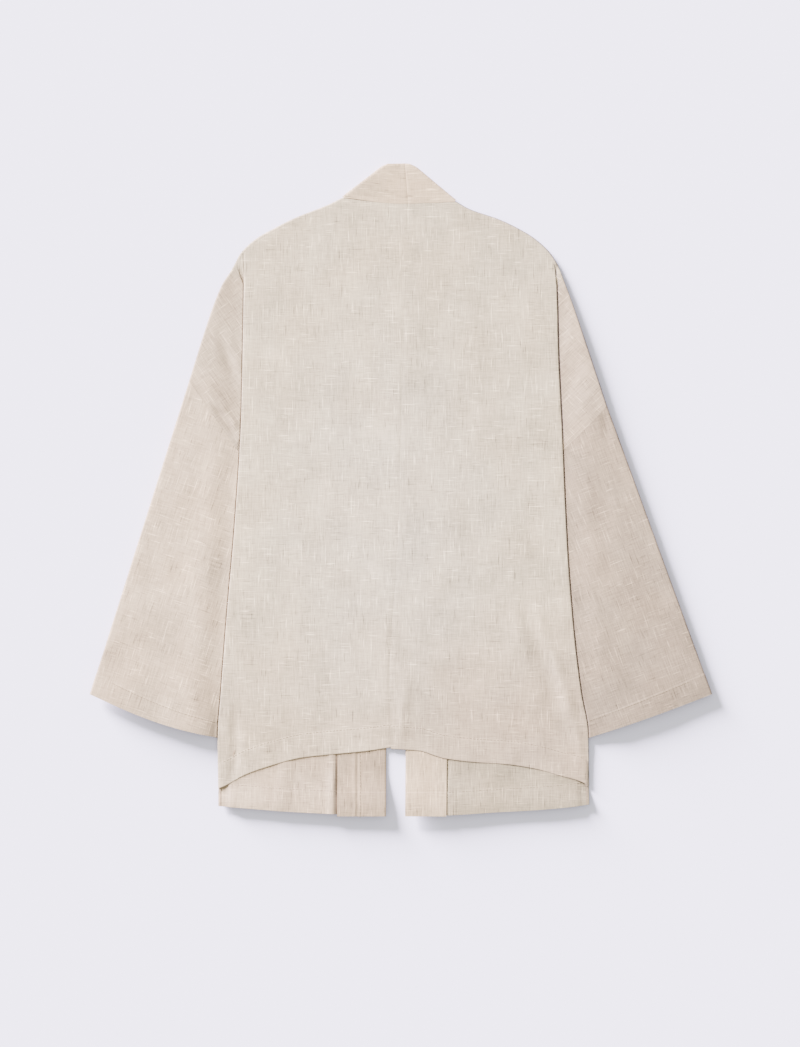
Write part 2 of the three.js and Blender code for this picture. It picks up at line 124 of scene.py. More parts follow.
# One side as it lies, with (out, y) corners. "limb_rise" is how soon and how far the limb rises beside the
# body's edge, "cuff_lift" how far the cuff lifts, and the two shades how far painted shade darkens the limb
# and cuff.
LEFT = {
    "name": "left", "sign": -1, "turn": 35, "sleeve_turn": 17.5,
    "neck": (74, 365), "fold_top": (197.5, 285), "fold_lead": 12, "armhole_top": (265, 136),
    "underarm": (132.5, -53), "inner_fold": (105, -53), "side_seam_end": (224, -373),
    "cuff_outer": (388.75, -255), "cuff_inner": (210, -313), "cuff_bow": 8, "band_top": (15.5, 407.6),
    "band_neck": (71.5, 364.6), "band_edge": {"top": 15, "bottom": 18.75}, "band_width": 61,
    "limb_rise": (1.2, 1.9), "cuff_lift": 3.2, "cuff_painted_shade": 0.55, "limb_painted_shade": 0.75,
    "shoulder": rows("y out", [
        (365, 74), (356, 91), (337.5, 135), (325, 159), (312.5, 181), (294, 201), (275, 212), (256, 224),
        (237.5, 232), (200, 245), (136, 265),
    ]),
    "edge": rows("y out", [
        (292, 196), (169, 198), (87, 200), (-37, 207.5), (-159, 218), (-250, 225), (-312, 229.5),
        (-395, 228.5),
    ]),
    "back_hem": rows("out y", [
        (12.5, -321), (46, -326), (77.5, -329), (124, -334), (162.5, -344), (195, -355.5), (217.5, -368),
        (229, -373),
    ]),
    "front_hem": rows("out y", [(19, -407.5), (77, -405), (139, -402), (190, -398), (228, -395)]),
}
RIGHT = {
    "name": "right", "sign": 1, "turn": 45, "sleeve_turn": 20,
    "neck": (70, 359.8), "fold_top": (194.2, 277), "fold_lead": 4, "armhole_top": (258, 104),
    "underarm": (94.5, -60), "inner_fold": (62.5, -60), "side_seam_end": (231, -371),
    "cuff_outer": (388.75, -255), "cuff_inner": (214, -316), "cuff_bow": 2, "band_top": (10.4, 407.4),
    "band_neck": (67, 360.2), "band_edge": {"top": 12.5, "bottom": 5}, "band_width": 51.5,
    "limb_rise": (2.0, 1.4), "cuff_lift": 0.2, "cuff_painted_shade": 0.8, "limb_painted_shade": 1.0,
    "shoulder": rows("y out", [
        (359.8, 70), (350, 87), (337.5, 122), (325, 147.5), (312.5, 167.5), (294, 187), (275, 198.5),
        (256, 206), (237.5, 213), (200, 226), (104, 258),
    ]),
    "edge": rows("y out", [
        (283, 193), (250, 195), (169, 197), (87, 201), (-69, 208), (-169, 215.5), (-250, 225),
        (-306, 234.5), (-393, 235.5),
    ]),
    "back_hem": rows("out y", [
        (-12.5, -321), (21, -323), (55, -333), (97.5, -338), (130, -340), (164, -345), (199, -354.5),
        (230, -364), (236, -371),
    ]),
    "front_hem": rows("out y", [
        (7, -407.5), (57, -406.5), (115, -403), (169, -400), (213, -396), (235, -393),
    ]),
}

# Soft folds, given one by one: from one end to the other, with a half-width and a height (down if negative)
CREASES = {
    "back": rows("x1 y1 x2 y2 width height", [
        (128, -120, 180, -290, 12, 1.1),
        (150, -120, 197, -282, 9, -1.4),
        (197, -282, 216, -335, 7, -1.0),
        (170, -150, 213, -285, 7, 1.8),
        (206, -230, 226, -350, 6, 1.4),
        (-91, -300, -91, -330, 10, 0.7),
        (3, -230, 2, -321, 7, 1.3),
        (-9, -250, -8, -318, 4, -0.5),
        (-206, -280, -209, -368, 5, -1.3),
        (-216, -250, -219, -345, 5, 0.7),
        (-196, -300, -199, -352, 5, 0.6),
        (-150, 250, -90, 60, 22, -0.15),
        (120, 260, 70, 40, 24, -0.15),
        (-120, -60, -150, -280, 20, -0.2),
        (60, -40, 90, -300, 20, 0.2),
        (-50, -120, -60, -300, 18, 0.2),
        (137, -318, 143, -341, 4, 0.8),
    ]),
    "limb": rows("x1 y1 x2 y2 width height", [
        (-229, 200, -203, 132, 7, -2.3),
        (-222, 196, -201, 148, 6, 2.0),
        (-236, 104, -206, 70, 4, -2.3),
        (-228, 108, -203, 78, 5, 2.2),
        (-252, 150, -222, 96, 8, 1.6),
        (226, 165, 204, 110, 6, -0.8),
        (244, 130, 212, 78, 6, 0.7),
        (215, 215, 203, 160, 4, 0.6),
    ]),
    "sleeve": rows("x1 y1 x2 y2 width height", [
        (-240, 60, -275, -120, 12, -0.7),
        (-262, 40, -330, -200, 14, 0.6),
        (-228, -20, -250, -230, 9, 0.7),
        (-300, -60, -345, -240, 12, -0.5),
        (235, 40, 262, -150, 12, -0.7),
        (256, 20, 310, -180, 13, 0.6),
        (290, -30, 350, -230, 12, -0.5),
        (228, -60, 246, -240, 8, 0.6),
        (249, 98, 261, 62, 4, -2.0),
    ]),
    "band": rows("x1 y1 x2 y2 width height", [
        (-58, -290, -58, -430, 1.8, 0.5),
        (-54.4, -290, -54.4, -430, 1.3, -0.5),
        (-30, -290, -33, -420, 6, 0.3),
        (20, -290, 22, -420, 7, 0.3),
        (40, -290, 39, -420, 5, -0.25),
    ]),
    "front": rows("x1 y1 x2 y2 width height", [
        (-85.5, -322, -86, -470, 5, 3.2),
        (-128, -330, -131, -402, 6, -0.7),
        (-206, -363, -197, -373, 2.6, -0.7),
        (-211, -368, -204, -384, 5, 0.8),
        (-147, -335, -152, -405, 9, 1.6),
        (110, -330, 114, -402, 18, 0.9),
        (190, -340, 186, -398, 12, 0.8),
    ]),
}

# Each piece's tone of the same linen, with painted shade: the right back, front and sleeve, away from the
# light, are coloured darker
LINEN_TONE_AND_SHADE = {
    "back_left": "#AA9883", "back_right": "#A3927E", "front_left": "#9D8773", "front_right": "#867765",
    "sleeve_left": "#AE9680", "sleeve_right": "#887565", "neckband_left": "#AC947B",
    "neckband_right": "#AC947B",
}
THREAD = "#6B5D4C"
FLOOR = "#E3DAF8"

# Each kind of piece: its slot, how strongly its yarns show each way, and its tint where painted shade
# darkens it
KINDS = {
    "back": {"slot": "body_linen", "along": 1.0, "across": 1.0, "shaded": (0.87, 0.8, 0.8)},
    "front": {"slot": "body_linen", "along": 1.1, "across": 0.85, "shaded": (0.87, 0.8, 0.8)},
    "sleeve": {"slot": "sleeve_linen", "along": 1.0, "across": 1.0, "shaded": (0.76, 0.76, 0.77)},
    "neckband": {"slot": "band_linen", "along": 1.1, "across": 0.6, "shaded": (0.63, 0.62, 0.64)},
}
# Painted shade on cloth that leans away from level, as at a turned or cut edge. The back's right edge is
# folded sharp and faces away from the light, so it gets the darker one.
SOFT_EDGE_SHADE, SHARP_EDGE_SHADE = (0.88, 0.86, 0.94), (0.5, 0.5, 0.66)

# Streaks of the weave, so many millimetres of cloth wide and long, each with its own shift in the pattern.
# Above its level a streak is a slub: a thicker yarn, or a thin one where its weight is below nought. A real
# yarn is about 0.4 mm wide, under half a pixel of the render, so all are drawn two to five times as wide.
YARN_COLUMNS = "runs width length detail shift level tone relief"
YARNS = [dict(zip(YARN_COLUMNS.split(), row)) for row in [
    ("along", 1.5, 34, 3, 11, None, 0.38, 0.6),
    ("across", 30, 1.5, 3, 47, None, 0.3, 0.5),
    ("both", 0.8, 9, 2, 71, None, 0.2, 0.5),
    ("both", 8, 0.8, 2, 93, None, 0.18, 0.5),
    ("both", 42, 55, 2, 29, None, 0.3, 0),
    ("along", 1.9, 30, 1, 133, 0.15, 0.34, 0.7),
    ("across", 26, 1.7, 1, 171, 0.17, 0.42, 0.6),
    ("along", 1.7, 24, 1, 213, 0.16, -0.26, 0),
    ("across", 22, 1.6, 1, 257, 0.17, -0.2, 0),
]]


def lerp(a, b, t):
    return a + (b - a) * t


def ease(start, end, value):
    """Smooth rise from 0 at start to 1 at end."""
    t = np.clip((value - start) / (end - start), 0, 1)
    return t * t * (3 - 2 * t)


def read(table, key, value, place):
    """Value of one column at a place along another, on a smooth curve through the table's rows."""
    order = np.argsort(table[key])
    x, y = table[key][order], table[value][order]
    step = np.diff(x)
    rise = np.diff(y) / step
    both = rise[:-1] * rise[1:]
    inner = np.where(both > 0, 2 * both / np.where(both > 0, rise[:-1] + rise[1:], 1), 0)
    slope = np.concatenate([rise[:1], inner, rise[-1:]])
    place = np.clip(place, x[0], x[-1])
    i = np.clip(np.searchsorted(x, place) - 1, 0, len(step) - 1)
    t = (place - x[i]) / step[i]
    return (
        y[i] * (1 + 2 * t) * (1 - t) ** 2
        + y[i + 1] * t * t * (3 - 2 * t)
        + step[i] * t * (1 - t) * (slope[i] * (1 - t) - slope[i + 1] * t)
    )


def line_out(start, end, y):
    """Place on the straight line between two (out, y) points, at a height."""
    return lerp(start[0], end[0], (y - start[1]) / (end[1] - start[1]))


def shoulder_out(side, y):
    return read(side["shoulder"], "y", "out", y)


def edge_out(side, y):
    """The body's folded side edge."""
    return np.minimum(read(side["edge"], "y", "out", y), shoulder_out(side, y) - STRIP)


def tuck_out(side, y):
    """The inner fold of the tuck above the underarm, and the side seam below it."""
    above = line_out(side["fold_top"], side["inner_fold"], y)
    below = line_out(side["inner_fold"], side["side_seam_end"], y)
    return np.minimum(np.where(y > side["underarm"][1], above, below), edge_out(side, y) - LEAST_TUCK)


def slant(side, y):
    """How much longer a step across the shoulder's outline is when measured straight outwards."""
    reach = 8
    return np.hypot(1, (shoulder_out(side, y - reach) - shoulder_out(side, y + reach)) / (2 * reach))


def parted(side, y):
    """How far the layers have parted, just above the shoulder tip."""
    return ease(side["fold_top"][1] + side["fold_lead"], side["fold_top"][1], y)


def fallen(side, y):
    """How far down from the shoulder tip the limb lies beside the body and no longer over it."""
    tip = side["fold_top"][1]
    return ease(tip + side["fold_lead"], tip - 10, y)


def tucked(side, y):
    """How far the layers are tucked under one another, just below the shoulder tip."""
    return ease(side["fold_top"][1], side["fold_top"][1] - FOLD_RAMP, y)


def band_free(side, y):
    return lerp(side["band_edge"]["bottom"], side["band_edge"]["top"], (y + 408) / 816)


def band_seam(side, y):
    """The neckband's sewn edge, which swings in from the neck fold to run beside the front."""
    swing = np.clip(np.exp((y - side["band_neck"][1]) / 30), 0, 1)
    return lerp(band_free(side, y) + side["band_width"], side["band_neck"][0], swing)


def neck_height(side, out):
    share = np.clip(np.abs(out) / side["neck"][0], 0, 1)
    return lerp(NECK_CENTRE, side["neck"][1], share**1.5)


def back_level(side, out, y):
    """Height of the back's panel, which rises towards the layers under its side."""
    tip = side["fold_top"][1]
    inner = lerp(tuck_out(side, y), edge_out(side, y), ease(tip - 40, tip + 40, y))
    lift = ease(inner - 100, inner - 3, out)
    return lerp(read(BACK_LEVELS, "y", "centre", y), read(BACK_LEVELS, "y", "side", y), lift)


def upper_limb(side, out, y):
    """Height of the upper layer of the drop shoulder and the sleeve."""
    opened = lerp(LIMB_OPEN["cuff"], LIMB_OPEN["armhole"], np.clip((y + 255) / 390, 0, 1))
    beyond = out - edge_out(side, y)
    # Pressed up against the body's side edge, and falling away from it
    near, height = side["limb_rise"]
    rise = height * ease(0, near, beyond) * np.exp(-np.clip(beyond - near, 0, None) / 75) * fallen(side, y)
    return lerp(LEVEL["upper_limb"], opened, ease(0, 40, beyond)) + rise


def lower_limb(side, out, y):
    return lerp(LEVEL["lower_limb"], LIMB_UNDER, ease(0, 24, out - edge_out(side, y)))


def back_tuck_level(y):
    return lerp(LEVEL["back_tuck"], 2.2, ease(-230, -360, y))


def rim_level(side, y):
    """Where the upper and lower layers meet along the shoulder and the sleeve head."""
    out = shoulder_out(side, y)
    share = parted(side, y)
    upper = lerp(back_level(side, out, y), upper_limb(side, out, y), share)
    lower = lerp(LEVEL["front"], lower_limb(side, out, y), share)
    return (upper + lower) / 2


def front_edge_inset(side, y):
    room = (edge_out(side, y) - tuck_out(side, y)) * 0.25
    return np.minimum(FRONT_INSET, room) * ease(-390, -330, y)


# The two kinds of body panel. "way" is up for the back and down for the front, where layers meet at a seam.
BACK = {
    "name": "back", "way": 1, "columns": 62, "stitches_below": 2.5, "round_edges": ("end",),
    "hem": lambda side, out: read(side["back_hem"], "out", "y", out),
    "top": lambda side, out: neck_height(side, out) - SEAM,
    "start": lambda side, y: side["sign"] * read(CENTRE_BACK, "y", "x", y) + SEAM / 2,
    "edge": edge_out,
    "panel": back_level,
    "tuck": back_tuck_level,
    "limb": upper_limb,
}
FRONT = {
    "name": "front", "way": -1, "columns": 44, "stitches_below": 1.5, "round_edges": (),
    "hem": lambda side, out: read(side["front_hem"], "out", "y", out),
    "top": lambda side, out: side["neck"][1] - FRONT_DROP + 0 * out,
    "start": lambda side, y: band_seam(side, y) + SEAM,
    "edge": lambda side, y: edge_out(side, y) - front_edge_inset(side, y),
    "panel": lambda side, out, y: LEVEL["front"] + 0 * out,
    "tuck": lambda y: lerp(LEVEL["front_tuck"], 1.4, ease(-300, -365, y)),
    "limb": lower_limb,
}


def relief(x, y, kind, height):
    """Soft folds from a table, with the slow unevenness of cloth that has been laid out by hand."""
    table = CREASES[kind]
    total = np.zeros(np.broadcast(x, y).shape)
    for x1, y1, x2, y2, width, deep in zip(*table.values()):
        dx, dy = x2 - x1, y2 - y1
        long = math.hypot(dx, dy)
        along = ((x - x1) * dx + (y - y1) * dy) / long
        # A hand-laid fold wanders a little and is never equally deep
        wander = 0.25 * width * np.sin(along / (2.4 * width) + x1)
        across = ((x - x1) * dy - (y - y1) * dx) / long - wander
        fade = ease(-0.15 * long, 0.3 * long, along) * ease(1.15 * long, 0.7 * long, along)
        uneven = 0.85 + 0.15 * np.sin(along / (1.7 * width) + 2 * y1)
        total += deep * fade * uneven * np.exp(-((across / width) ** 2))
    slow = (
        0.22 * np.sin(x / 31 + 1.3 * np.sin(y / 97)) * np.sin(y / 83 + 0.7)
        + 0.14 * np.sin(x / 13.5 + y / 71 + 1.1) * np.sin(y / 41 - x / 90)
        + 0.07 * np.sin(x / 6.1 + 2.0 * np.sin(y / 37)) * np.sin(y / 23 + x / 47)
    )
    return height * (total + slow)


def turn(start, half_width, sweep, count):
    """A quarter or half turn: places out, the part of the drop behind each and the share of the turn."""
    share = np.arange(1, count + 1)[None, :] / count
    angle = sweep * share
    whole = 1 - np.cos(sweep)
    return start + half_width * np.sin(angle), (1 - np.cos(angle)) / whole, share


def crowded(count, middle, half):
    """Shares of the way along each row, up to 1, about a third of them within half of the middle."""
    share = np.arange(1, count + 1)[None, :] / count
    start, end = middle - half, middle + half
    within = lerp(start, end, (share - 0.3) / 0.35)
    beyond = lerp(end, 1, (share - 0.65) / 0.35)
    return np.where(share < 0.3, start * share / 0.3, np.where(share < 0.65, within, beyond))


def heights(side, panel, step):
    """Heights of the rows down one side of a body panel, closer where the cloth turns or a hem starts."""
    hem_y = panel["hem"](side, read(side["edge"], "y", "out", -400))
    highest = panel["top"](side, side["neck"][0])
    hem_top = hem_y + HEM[panel["name"]]
    tip, armhole, underarm = (side[key][1] for key in ("fold_top", "armhole_top", "underarm"))
    marks = [
        (highest, step), (tip + side["fold_lead"], 1.6), (tip - FOLD_RAMP - 6, step),
        (armhole + 4, 1.5), (armhole - 4, step), (underarm + 3, 1.5), (underarm - 3, step),
        (hem_top + 3, 0.6), (hem_top - 1, step), (hem_y + 1.5, 0.5), (hem_y, 0),
    ]
    parts = [
        np.linspace(a, b, max(1, round((a - b) / gap)), endpoint=False)
        for (a, gap), (b, _) in zip(marks, marks[1:])
    ]
    fixed = [armhole, underarm, hem_y]
    ys = np.sort(np.concatenate([*parts, fixed]))[::-1]
    keep = np.concatenate([[True], np.diff(ys) < -0.2])
    keep |= np.isin(ys, fixed)
    return ys[keep], hem_y, highest


class Grid(NamedTuple):
    """The middle surface of a piece of cloth, in rows and columns."""

    points: np.ndarray
    # The cloth's own coordinates, which the weave follows
    grain: np.ndarray
    # The hem's extra thickness
    hem: np.ndarray
    exists: np.ndarray
    # Painted shade: how much darker the cloth is coloured, up to 1
    painted_shade: np.ndarray


def body_rows(side, panel, cloth):
    """What each row of a body panel needs, as columns: its places out and how far its layers part."""
    ys, hem_y, highest = heights(side, panel, cloth.step / MM)
    y, long = ys[:, None], highest - hem_y
    limbed = y >= side["underarm"][1]
    above = y >= side["armhole_top"][1]
    outline = shoulder_out(side, y) - HALF
    corner = (side["armhole_top"][0] - HALF, side["armhole_top"][1])
    outer = np.where(above, outline, line_out(corner, side["underarm"], y) - SEAM * 0.6)
    first = panel["start"](side, y)
    room = outline - first
    rim = np.minimum(np.where(above, RIM_ROLL * slant(side, y), RIM_ROLL), room * 0.2)
    strip = np.minimum(STRIP * slant(side, y), room * 0.4)
    edge = np.minimum(panel["edge"](side, y), np.where(above, outline - strip, np.inf)) - HALF
    share = (highest - y) / long
    hem_share = (long - HEM[panel["name"]]) / long
    return SimpleNamespace(
        y=y, limbed=limbed, above=above, first=first, outer=outer, limb_end=outer - rim, share=share,
        inner=tuck_out(side, y) + HALF + TUCK_ROLL, panel_end=edge - FOLD_ROLL, settled=parted(side, y),
        spread=np.where(limbed, tucked(side, y), 1), tuck=panel["tuck"](y),
        hem=ease(0, 1.4 / long, share - hem_share),
    )


def folded_columns(side, panel, row, top_z):
    """The Z-shaped side fold, the limb beyond it and the roll at the outline: places out and heights.

    The third result is where the limb's columns lie once they are fully folded.
    """
    y, tuck = row.y, row.tuck
    out1, drop1, _ = turn(row.panel_end, FOLD_ROLL, math.pi, TURN_COLUMNS)
    out2 = lerp(row.panel_end, row.inner, np.arange(1, TUCK_COLUMNS + 1)[None, :] / TUCK_COLUMNS)
    full_out, full_drop, _ = turn(row.inner, -TUCK_ROLL, math.pi, TURN_COLUMNS)
    half_out, half_drop, _ = turn(row.inner, -TUCK_ROLL, math.pi / 2, TURN_COLUMNS)
    between = back_tuck_level(y) - LEVEL["front_tuck"]
    meeting = LEVEL["front_tuck"] + (between + panel["way"] * TURNED_SEAM) / 2
    seam = lerp(tuck, meeting, ease(2.2, 4.5, between))
    limb_start = panel["limb"](side, row.inner, y)
    out3 = np.where(row.limbed, full_out, half_out)
    z3 = np.where(row.limbed, lerp(tuck, limb_start, full_drop), lerp(tuck, seam, half_drop))
    # The limb's columns crowd together where it comes out from under the body's edge
    wide = row.limb_end - row.inner
    beside = np.clip((edge_out(side, y) + 1.2 - row.inner) / wide, 0.1, 0.9)
    near = np.minimum(np.minimum(beside, 1 - beside) * 0.9, 3.2 / wide)
    out4 = lerp(row.inner, row.limb_end, crowded(LIMB_COLUMNS, beside, near))
    fold_out = np.hstack([out1, out2, out3, out4])
    fold_z = np.hstack([lerp(top_z, tuck, drop1), tuck + 0 * out2, z3, panel["limb"](side, out4, y)])

    # Above the shoulder tip the same cloth lies smooth, then slopes to the limb, then tucks under itself
    count = fold_out.shape[1]
    along = np.arange(1, count + 1)[None, :]
    smooth = lerp(row.panel_end, row.limb_end, along / count)
    slope = lerp(top_z, panel["limb"](side, smooth, y), ease(0, 2 * TURN_COLUMNS + TUCK_COLUMNS, along))
    opened = lerp(panel["panel"](side, smooth, y), slope, row.settled)
    bend_out = lerp(smooth, fold_out, row.spread)
    bend_z = lerp(opened, fold_z, row.spread)

    quarter_out, quarter_drop, even = turn(np.zeros_like(y), 1, math.pi / 2, RIM_COLUMNS)
    rim_out = lerp(row.limb_end, row.outer, np.where(row.above, quarter_out, even))
    rim_end = rim_level(side, y) + panel["way"] * TURNED_SEAM / 2
    rim_z = np.where(row.above, lerp(bend_z[:, -1:], rim_end, quarter_drop), panel["limb"](side, rim_out, y))
    return np.hstack([bend_out, rim_out]), np.hstack([bend_z, rim_z]), np.hstack([out4, rim_out])


def turned_grain(side, outs, ys, turned):
    """The cloth's own coordinates: straight with the panel, turned about the shoulder tip past the fold."""
    angle = math.radians(side["turn"])
    tip_out, tip_y = side["fold_top"]
    turned_out = tip_out + (outs - tip_out) * math.cos(angle) - (ys - tip_y) * math.sin(angle)
    turned_y = tip_y + (outs - tip_out) * math.sin(angle) + (ys - tip_y) * math.cos(angle)
    return np.dstack([side["sign"] * lerp(outs, turned_out, turned), lerp(ys, turned_y, turned)])


def body_grid(side, panel, cloth):
    """Half the back or one front, from its centre edge round the side fold to the armhole."""
    row = body_rows(side, panel, cloth)

    def warp(out):
        return lerp(panel["top"](side, out), panel["hem"](side, out), row.share)

    def row_y(out):
        return warp(out) + row.settled * (row.y - warp(row.panel_end))

    start = panel["start"](side, row_y(row.first))
    out = lerp(start, row.panel_end, np.linspace(0, 1, panel["columns"])[None, :])
    place_y = row_y(out)
    level = panel["panel"](side, out, place_y)
    folded_out, folded_z, limb_out = folded_columns(side, panel, row, level[:, -1:])
    outs = np.hstack([out, folded_out])
    ys = np.hstack([place_y, lerp(warp(folded_out), place_y[:, -1:], row.settled)])
    zs = np.hstack([level, folded_z])
    xs = side["sign"] * outs
    flat = np.arange(outs.shape[1])[None, :] < panel["columns"]
    limb_from = panel["columns"] + 2 * TURN_COLUMNS + TUCK_COLUMNS
    exists = np.ones(outs.shape, bool)
    exists[:, limb_from:] = row.limbed
    beyond_fold = np.arange(outs.shape[1])[None, :] - panel["columns"] - TURN_COLUMNS
    turned = np.clip(beyond_fold / TUCK_COLUMNS, 0, 1) * row.spread
    # Painted shade: past the side fold the limb is coloured darker and pinker than the panel
    painted_shade = side["limb_painted_shade"] * turned

    # Soft folds, which fade out towards the seams and turned edges
    fade = lerp(10, 40, row.settled * (1 - row.spread) + (1 - row.settled))
    on_panel = flat * ease(0, 2.5, outs - start) * ease(-1, fade, row.panel_end - outs)
    zs += on_panel * relief(xs, ys, panel["name"], cloth.folds)
    if panel["name"] == "back":
        # The panel never sinks into the tuck that it lies on
        over_tuck = (on_panel > 0) & (outs > tuck_out(side, row.y) - 4) & (row.settled * row.spread > 0.99)
        zs = np.where(over_tuck, np.maximum(zs, row.tuck + 0.95), zs)
        on_limb = ease(0, 8, row.outer - limb_out) * row.spread * row.limbed
        limb = np.s_[:, limb_from:]
        zs[limb] += on_limb * relief(xs[limb], ys[limb], "limb", cloth.folds)
        zs += flat * back_lift(xs, ys)
        # The centre back seam lies in a shallow groove, deepest near the hem
        zs[:, 0] -= 0.15 + 0.25 * ease(-50, -250, ys[:, 0])
        # Painted shade: the lower right of the back is coloured darker, as if it fell away from the light
        painted_shade += flat * ease(-100, -300, ys) * (0.38 + 0.6 * ease(-60, 120, xs))
    else:
        zs = np.where(flat, np.maximum(zs, LEVEL["front"]), zs)
        zs += hem_lift(side, outs, ys) * (outs < edge_out(side, ys) + 4)
    hem = flat * row.hem * cloth.hem_raise / MM
    grain = turned_grain(side, outs, ys, turned)
    return Grid(np.dstack([xs, ys, zs]), grain, hem, exists, painted_shade)


def back_lift(x, y):
    """The lower back stands a little proud of the fronts where it spans them."""
    return 0.35 * ease(-200, -320, y) * np.exp(-((x + 45) / 60) ** 2)


def hem_lift(side, out, y):
    """The front hems don't lie quite flat: they lift a little towards the edge."""
    front_hem, back_hem = (read(side[key], "out", "y", out) for key in ("front_hem", "back_hem"))
    above = y - front_hem
    inside = ease(0, 5, out - band_seam(side, y)) * ease(10, 16, edge_out(side, y) - out)
    # Less room to lift where the back hem comes close
    reach = np.clip(0.85 * (back_hem - front_hem), 18, 60)
    lift = lerp(3.6, 6.2, (reach - 18) / 42) + 0.5 * np.sin(out / 37 + 0.6)
    under_back = (1.4 + 0.5 * ease(130, 200, out)) * ease(115, 70, above) * inside
    return under_back + ease(0, 1, 1 - above / reach) * lift


def sleeve_grid(side, cloth):
    """One sleeve, a flattened tube: its rows go round, upper layer first."""
    armhole, underarm = side["armhole_top"], side["underarm"]
    outer_end, inner_end = side["cuff_outer"], side["cuff_inner"]
    long = abs(outer_end[1] - armhole[1])
    hem_at = 1 - HEM["cuff"] / long
    step = cloth.step / MM / long
    shares = np.concatenate([
        np.linspace(0, hem_at - 3 / long, round(0.94 / step)),
        np.linspace(hem_at - 2.2 / long, hem_at + 1 / long, 5),
        np.linspace(hem_at + 4 / long, 1 - 1.5 / long, 5), [1 - 0.7 / long, 1],
    ])[:, None]
    outer = [lerp(a, b, shares) for a, b in zip(armhole, outer_end)]
    inner = [lerp(a, b, shares) for a, b in zip(underarm, inner_end)]
    width = np.hypot(outer[0] - inner[0], outer[1] - inner[1])

    def across(t):
        gap = ARMHOLE_SEAM * (1 - shares) * (1 + ease(0.9, 1, t))
        bow = side["cuff_bow"] * shares * np.sin(math.pi * t)
        return lerp(inner[0], outer[0] - HALF, t), lerp(inner[1], outer[1], t) - gap - bow

    # The rows slant, so the place where the sleeve comes out from under the body is found in a few steps
    beside = 0.3 + 0 * shares
    for _ in range(4):
        body_edge = edge_out(side, across(beside)[1]) + 1.2
        beside = np.clip((body_edge - inner[0]) / (outer[0] - HALF - inner[0]), 0.04, 0.9)
    spaced = crowded(SLEEVE_COLUMNS, beside, np.minimum(beside * 0.9, 3.2 / width))
    t = np.hstack([0 * beside, spaced])
    t = lerp(TUCK_ROLL / width, 1 - RIM_ROLL / width, t)
    out, y = across(t)
    soft = ease(0, 10, (1 - t) * width) * ease(0, 12, t * width) * ease(-0.01, 0.05, shares)
    bumps = soft * relief(side["sign"] * out, y, "sleeve", cloth.folds)
    outside = ease(0, 14, out - edge_out(side, y))
    lift = (side["cuff_lift"] + 0.5 * np.sin(out / 24 + side["sign"])) * ease(0.75, 1, shares) * outside
    upper = upper_limb(side, out, y) + bumps * outside + lift
    lower = lower_limb(side, out, y) + lift * ease(0, 30, out - edge_out(side, y))
    reach, drop, _ = turn(np.zeros_like(width), 1, math.pi, 9)
    reach, drop = reach[:, :-1], drop[:, :-1]

    def edge_turn(from_out, from_y, from_z, tip, to_z):
        return lerp(from_out, tip[0], reach), lerp(from_y, tip[1], reach), lerp(from_z, to_z, drop)

    rim = edge_turn(out[:, -1:], y[:, -1:], upper[:, -1:], across(np.ones_like(width)), lower[:, -1:])
    fold = edge_turn(out[:, :1], y[:, :1], lower[:, :1], across(np.zeros_like(width)), upper[:, :1])
    outs = np.hstack([out, rim[0], out[:, ::-1], fold[0]])
    ys = np.hstack([y, rim[1], y[:, ::-1], fold[1]])
    zs = np.hstack([upper, rim[2], lower[:, ::-1], fold[2]])
    hem = ease(hem_at - 1.2 / long, hem_at, shares) * np.ones_like(outs)
    hem *= ease(0, 16, outs - edge_out(side, inner[1]))
    hem[:, out.shape[1] + rim[0].shape[1]:] *= 0
    angle = math.radians(side["sleeve_turn"])
    grain = np.dstack([
        side["sign"] * (outs * math.cos(angle) + ys * math.sin(angle)),
        ys * math.cos(angle) - outs * math.sin(angle),
    ])
    points = np.dstack([side["sign"] * outs, ys, zs])
    # Painted shade: the sleeve is coloured darker towards its cuff
    painted_shade = side["cuff_painted_shade"] * ease(0.45, 1, shares) + 0 * outs
    return Grid(points, grain, hem * cloth.hem_raise / MM, np.ones(outs.shape, bool), painted_shade)


